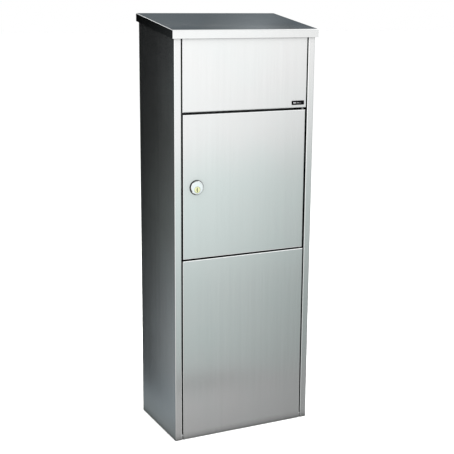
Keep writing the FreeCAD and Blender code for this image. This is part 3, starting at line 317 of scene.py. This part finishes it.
def spring_points(side):
    """Middle line of a torsion spring: hook in the cheek, arm, coil about the hatch's axis, tail."""
    top = HATCH_AXIS + Vector((side * SPRING_CHEEK_X, 0.0, SPRING_R))
    hook_end = top + Vector((-side * SPRING_HOOK, SPRING_ARM, 0.0))
    corner = top + Vector((0.0, SPRING_ARM - SPRING_HOOK_BEND, 0.0))
    centre = corner + Vector((-side * SPRING_HOOK_BEND, 0.0, 0.0))
    bend_angles = [math.pi / 2 * (1 - k / HOOK_STEPS) for k in range(HOOK_STEPS + 1)]
    bend = [
        centre + SPRING_HOOK_BEND * Vector((side * math.cos(a), math.sin(a), 0.0)) for a in bend_angles
    ]
    steps = round(SPRING_TURNS * POINTS_PER_TURN)
    coil = []
    for k in range(steps + 1):
        angle = 2 * math.pi * SPRING_TURNS * k / steps
        x = side * (SPRING_CHEEK_X + (SPRING_WALL_X - SPRING_CHEEK_X) * k / steps)
        coil.append(HATCH_AXIS + Vector((x, -SPRING_R * math.sin(angle), SPRING_R * math.cos(angle))))
    return [hook_end, *bend, *coil, coil[-1] + SPRING_TAIL]


def wire_mesh(name, points, radius):
    """Round wire along a line of points, with closed ends."""
    curve = bpy.data.curves.new(name, "CURVE")
    curve.dimensions = "3D"
    line = curve.splines.new("POLY")
    line.points.add(len(points) - 1)
    for place, point in zip(line.points, points):
        place.co = (*point, 1.0)
    curve.bevel_depth = radius
    curve.bevel_resolution = WIRE_ROUNDNESS
    curve.use_fill_caps = True
    drawn = bpy.data.objects.new(name + "_line", curve)
    bpy.context.scene.collection.objects.link(drawn)
    bpy.context.view_layer.update()
    mesh = bpy.data.meshes.new_from_object(drawn.evaluated_get(bpy.context.evaluated_depsgraph_get()))
    bpy.data.objects.remove(drawn)
    mesh.name = name
    mesh.polygons.foreach_set("use_smooth", [True] * len(mesh.polygons))
    wire = bpy.data.objects.new(name, mesh)
    bpy.context.scene.collection.objects.link(wire)
    return wire


def hatch_springs():
    """The two springs between the housing and the hatch, built as round wire in place of the model's
    springs.
    """
    for name, side in (("left", -1), ("right", 1)):
        spring = wire_mesh(name + "_spring_wire", spring_points(side), SPRING_WIRE_R)
        spring.data.materials.clear()
        spring.data.materials.append(spring_wire)
        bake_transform(spring)
        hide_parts(name + "_hatch_spring")


BOOK_X = -10.0                          # the mark's place on the badge, from its middle, mm
PAGE = [(0.25, 0.9), (3.2, 1.6), (3.2, -0.9), (0.25, -1.6)]    # x and z of its right page's corners
RULES = [(5.6, 12.6, 0.45), (5.6, 18.0, -0.95)]                # x0, x1 and height of two plain bars
RULE_T, MARK_T = 0.40, 0.12                                    # thickness of a bar, height of the mark


def badge_mark():
    """A plain open book and two bars in light relief on the badge."""
    low, high = (Vector(corner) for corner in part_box("badge_plate"))
    middle = (low + high) / 2
    outlines = [[(sx * x, z) for x, z in PAGE] for sx in (-1, 1)]
    outlines += [[(x0, z), (x1, z), (x1, z + RULE_T), (x0, z + RULE_T)] for x0, x1, z in RULES]
    built = bmesh.new()
    for outline in outlines:
        places = [((BOOK_X + x) * MM + middle.x, z * MM + middle.z) for x, z in outline]
        foot, face = (
            [built.verts.new((x, y, z)) for x, z in places] for y in (low.y, low.y - MARK_T * MM)
        )
        built.faces.new(foot)
        built.faces.new(face)
        for corner in range(len(places)):
            before = corner - 1
            built.faces.new((foot[before], foot[corner], face[corner], face[before]))
    bmesh.ops.recalc_face_normals(built, faces=built.faces)
    mesh = bpy.data.meshes.new("badge_mark")
    built.to_mesh(mesh)
    built.free()
    mesh.materials.append(bright_steel)
    mark = bpy.data.objects.new("badge_mark", mesh)
    bpy.context.scene.collection.objects.link(mark)
    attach(mark, "hatch")


hatch_springs()
badge_mark()


# ---------------------------------------------------------------- studio
# The sky's stops are (height, brightness): height 0 is straight down, 0.5 level, 1 straight up.
WORLD_STRENGTH = 1.5
LOW_SKY = (0.076, 0.092, 0.105)
SKY_AHEAD = [(0.28, 0.20), (0.36, 0.34), (0.43, 0.55), (0.50, 0.62), (0.62, 0.60), (0.80, 1.0)]
SKY_BEHIND = [(0.28, 0.16), (0.43, 0.22), (0.50, 0.19), (0.63, rgba(LOW_SKY)), (0.78, 0.17), (0.88, 1.0)]
SKY_SEAM = 0.35                       # half the width over which the one turns into the other
OVERHEAD_AT, OVERHEAD_SIZE, OVERHEAD_POWER = (0.3, -0.4, 3.2), 3.0, 160.0
PAPER_DARK, PAPER_LIGHT = (0.86,) * 3, (0.89,) * 3


def seen_only_by(thing, ray):
    """Hides a stage object from every kind of ray but one."""
    for kind in ("camera", "diffuse", "glossy", "transmission", "shadow", "volume_scatter"):
        setattr(thing, "visible_" + kind, kind == ray)


def emitter(name, paint):
    """A glowing material; paint sets the colour and strength of its light."""
    made = bpy.data.materials.new(name)
    graph = Graph(made)
    light = graph.add("Emission")
    paint(graph, light)
    output = graph.add("OutputMaterial")
    graph.set(output, "Surface", light.outputs[0])
    return made


def make_world():
    """Studio surroundings: bright ahead and overhead, dark grey low behind, dimmer below the horizon."""
    world = bpy.data.worlds.new("studio")
    bpy.context.scene.world = world
    graph = Graph(world)
    direction = graph.add("TexCoord").outputs["Generated"]
    parts = graph.add("SeparateXYZ", {0: direction})
    height = graph.spread(parts.outputs["Z"], 0.0, 1.0, start=-1.0)
    rearward = graph.spread(parts.outputs["Y"], 0.0, 1.0, start=-SKY_SEAM, end=SKY_SEAM)
    sky = graph.mix(rearward, graph.ramp(height, SKY_AHEAD), graph.ramp(height, SKY_BEHIND))
    shine = graph.add("Background", {"Color": sky, "Strength": WORLD_STRENGTH})
    output = graph.add("OutputWorld")
    graph.set(output, "Surface", shine.outputs[0])


NEUTRAL, COOL = (1.0, 1.0, 1.0), (0.91, 1.0, 0.985)
BLUISH, BLUE = (0.88, 0.96, 1.0), (0.82, 0.93, 1.0)


def card(name, corner, along, up, strength, rows, columns=((0.0, 1.0),), reach=((0.0, 1.0),)):
    """A studio card that only the metal's reflections see.

    rows are (position, brightness, hue) up its height and columns (position, brightness) along its
    length; reach is (position, share): how much of the columns' pattern counts at each height.
    """
    corner, along, up = Vector(corner), Vector(along), Vector(up)
    mesh = bpy.data.meshes.new(name)
    mesh.from_pydata([corner, corner + along, corner + along + up, corner + up], [], [(0, 1, 2, 3)])
    flat = mesh.uv_layers.new(name="flat")
    for loop, place in zip(flat.data, ((0, 0), (1, 0), (1, 1), (0, 1))):
        loop.uv = place
    shown = bpy.data.objects.new(name, mesh)
    bpy.context.scene.collection.objects.link(shown)

    def paint(graph, light):
        place = graph.add("SeparateXYZ", {0: graph.add("UVMap", uv_map="flat").outputs[0]})
        tall = graph.ramp(place.outputs["Y"], [(at, rgba(scaled(hue, level))) for at, level, hue in rows])
        wide = graph.ramp(place.outputs["X"], columns)
        share = graph.ramp(place.outputs["Y"], reach)
        loss = graph.math("MULTIPLY", share, graph.math("SUBTRACT", 1.0, wide))
        graph.set(light, "Color", tall)
        graph.set(light, "Strength", graph.math("MULTIPLY", graph.math("SUBTRACT", 1.0, loss), strength))

    mesh.materials.append(emitter(name, paint))
    seen_only_by(shown, "glossy")


def front_cards():
    """Ahead and to the right: the shading of hatch, door and lower panel, with a low horizon band."""
    card(
        "stage_card_ahead",
        corner=(-0.60, -1.30, -0.70),
        along=(2.60, 0.0, 0.0),
        up=(0.0, 0.0, 1.95),
        strength=1.6,
        rows=[
            (0.055, 0.315, NEUTRAL),
            (0.118, 0.40, NEUTRAL),
            (0.150, 0.40, NEUTRAL),
            (0.200, 0.44, COOL),
            (0.264, 0.49, COOL),
            (0.370, 0.56, COOL),
            (0.452, 0.665, COOL),
            (0.570, 0.75, COOL),
            (0.668, 0.86, NEUTRAL),
            (0.785, 0.90, NEUTRAL),
            (0.870, 0.91, NEUTRAL),
            (1.000, 0.70, NEUTRAL),
        ],
        columns=[
            (0.0, 0.60),
            (0.17, 0.70),
            (0.28, 1.0),
            (0.36, 1.0),
            (0.46, 0.86),
            (0.58, 0.60),
            (0.68, 0.45),
            (1.0, 0.25),
        ],
        reach=[(0.05, 0.75), (0.30, 1.0), (0.60, 0.9), (0.85, 0.36)],
    )
    card(
        "stage_card_band",
        corner=(0.22, -1.29, -0.385),
        along=(0.36, 0.0, 0.015),
        up=(0.0, 0.0, 0.060),
        strength=1.6,
        rows=[(0.0, 0.17, NEUTRAL), (0.35, 0.24, NEUTRAL), (1.0, 0.38, NEUTRAL)],
    )


def left_card():
    """Close beside the left wall: dark towards its back and top."""
    card(
        "stage_card_left",
        corner=(-0.36, 0.12, -0.25),
        along=(0.0, 1.5, 0.0),
        up=(0.0, 0.0, 1.45),
        strength=1.6,
        rows=[
            (0.040, 0.155, COOL),
            (0.076, 0.205, BLUE),
            (0.100, 0.270, BLUE),
            (0.130, 0.345, BLUE),
            (0.150, 0.370, BLUE),
            (0.200, 0.380, BLUISH),
            (0.286, 0.355, BLUISH),
            (0.496, 0.158, COOL),
            (0.665, 0.070, COOL),
            (0.803, 0.036, BLUISH),
            (0.883, 0.020, BLUISH),
            (1.000, 0.008, BLUISH),
        ],
        columns=[
            (0.0, 1.0),
            (0.05, 0.95),
            (0.10, 0.62),
            (0.15, 0.36),
            (0.20, 0.18),
            (0.27, 0.06),
            (0.40, 0.03),
        ],
        reach=[(0.06, 0.0), (0.092, 0.0), (0.110, 1.0), (1.0, 1.0)],
    )


def edge_cards():
    """Far to the left, to the right and below: the tones of the folded edges and of the side walls."""
    card(
        "stage_card_left_edges",
        corner=(-3.20, -0.20, -1.00),
        along=(2.30, -2.30, 0.0),
        up=(0.0, 0.0, 3.0),
        strength=1.25,
        rows=[(0.0, 0.45, NEUTRAL), (0.35, 0.80, NEUTRAL), (0.60, 1.0, NEUTRAL)],
    )
    card(
        "stage_card_right_edges",
        corner=(3.00, -2.40, -1.00),
        along=(0.0, 2.4, 0.0),
        up=(0.0, 0.0, 3.0),
        strength=1.25,
        rows=[(0.0, 0.14, NEUTRAL), (0.35, 0.20, COOL), (0.60, 0.44, COOL), (0.75, 0.55, NEUTRAL)],
    )
    card(
        "stage_card_below",
        corner=(-1.00, -1.28, -0.74),
        along=(3.2, 0.0, 0.0),
        up=(0.0, 1.00, 0.0),
        strength=1.25,
        rows=[(0.0, 0.70, NEUTRAL), (1.0, 1.0, NEUTRAL)],
    )


def rear_and_roof_cards():
    """Behind, overhead and high behind: the back, the roof from above, its sheen and its left edge."""
    card(
        "stage_card_behind",
        corner=(-4.00, 3.20, -1.40),
        along=(8.0, 0.0, 0.0),
        up=(0.0, 0.0, 3.3),
        strength=1.5,
        rows=[
            (0.0, 0.10, NEUTRAL),
            (0.30, 0.22, COOL),
            (0.55, 0.44, COOL),
            (0.75, 0.40, COOL),
            (1.0, 0.14, COOL),
        ],
        columns=[(0.0, 0.60), (0.30, 0.65), (0.39, 0.08), (0.46, 0.12), (0.60, 1.0), (1.0, 0.60)],
    )
    card(
        "stage_card_above",
        corner=(-1.40, -1.60, 3.00),
        along=(2.8, 0.0, 0.0),
        up=(0.0, 3.0, 0.0),
        strength=1.5,
        rows=[(0.0, 0.34, COOL), (0.45, 0.58, NEUTRAL), (1.0, 0.72, NEUTRAL)],
        columns=[(0.0, 0.80), (0.40, 1.0), (1.0, 0.66)],
    )
    card(
        "stage_card_roof_sheen",
        corner=(1.14, 2.50, 1.90),
        along=(0.56, 0.0, 0.0),
        up=(0.0, 0.0, 1.40),
        strength=1.0,
        rows=[(0.0, 0.38, BLUISH), (1.0, 0.44, BLUISH)],
        columns=[(0.0, 0.42), (0.50, 1.0), (0.66, 1.0), (1.0, 0.32)],
    )
    card(
        "stage_card_roof_edge",
        corner=(-2.60, 2.50, 1.95),
        along=(2.05, 0.0, 0.0),
        up=(0.0, 0.0, 1.8),
        strength=1.4,
        rows=[(0.0, 0.75, NEUTRAL), (0.50, 1.0, NEUTRAL)],
        columns=[(0.0, 0.60), (0.50, 1.0)],
    )


def stage_floor():
    """Plain pale floor. The metal mirrors the surroundings and not the floor."""
    bpy.ops.mesh.primitive_plane_add(size=FLOOR_SIZE)
    floor = bpy.context.object
    floor.name = "stage_floor"
    made, graph, shader = material("pale_floor")
    place = graph.add("TexCoord").outputs["Object"]
    paper = graph.add("TexNoise", {"Vector": place, "Scale": 3.0, "Detail": 2.0}).outputs[0]
    graph.set(shader, "Base Color", graph.tint(paper, PAPER_DARK, PAPER_LIGHT))
    graph.set(shader, "Roughness", 0.9)
    graph.set(shader, "Specular IOR Level", 0.0)
    floor.data.materials.append(made)
    floor.visible_glossy = False


def stage_backdrop():
    """White surroundings for the camera alone."""
    fineness = {"segments": BACKDROP_SEGMENTS, "ring_count": BACKDROP_RINGS}
    bpy.ops.mesh.primitive_uv_sphere_add(radius=BACKDROP_RADIUS, **fineness)
    dome = bpy.context.object
    dome.name = "stage_backdrop"
    white = emitter("white_backdrop", lambda graph, light: graph.set(light, "Strength", 1.0))
    dome.data.materials.append(white)
    seen_only_by(dome, "camera")


def overhead_light():
    """Soft light from above, aimed at the object's foot. The metal doesn't mirror it."""
    data = bpy.data.lights.new("overhead", "AREA")
    data.shape = "SQUARE"
    data.size = OVERHEAD_SIZE
    data.energy = OVERHEAD_POWER
    lamp = bpy.data.objects.new("overhead", data)
    bpy.context.scene.collection.objects.link(lamp)
    lamp.location = OVERHEAD_AT
    lamp.rotation_mode = "QUATERNION"
    lamp.rotation_quaternion = (-Vector(OVERHEAD_AT)).to_track_quat("-Z", "Y")
    lamp.visible_glossy = False


def make_camera():
    data = bpy.data.cameras.new("camera")
    data.lens = CAMERA_LENS
    data.sensor_width = CAMERA_SENSOR
    camera = bpy.data.objects.new("camera", data)
    bpy.context.scene.collection.objects.link(camera)
    turn = (
        Matrix.Rotation(math.radians(-CAMERA_YAW), 4, "Z")
        @ Matrix.Rotation(math.radians(90.0 - CAMERA_PITCH), 4, "X")
        @ Matrix.Rotation(math.radians(CAMERA_ROLL), 4, "Z")
    )
    camera.matrix_world = Matrix.Translation(CAMERA_AT) @ turn
    bpy.context.scene.camera = camera


make_world()
front_cards()
left_card()
edge_cards()
rear_and_roof_cards()
stage_floor()
stage_backdrop()
overhead_light()
make_camera()
bpy.context.scene.view_settings.view_transform = "Standard"
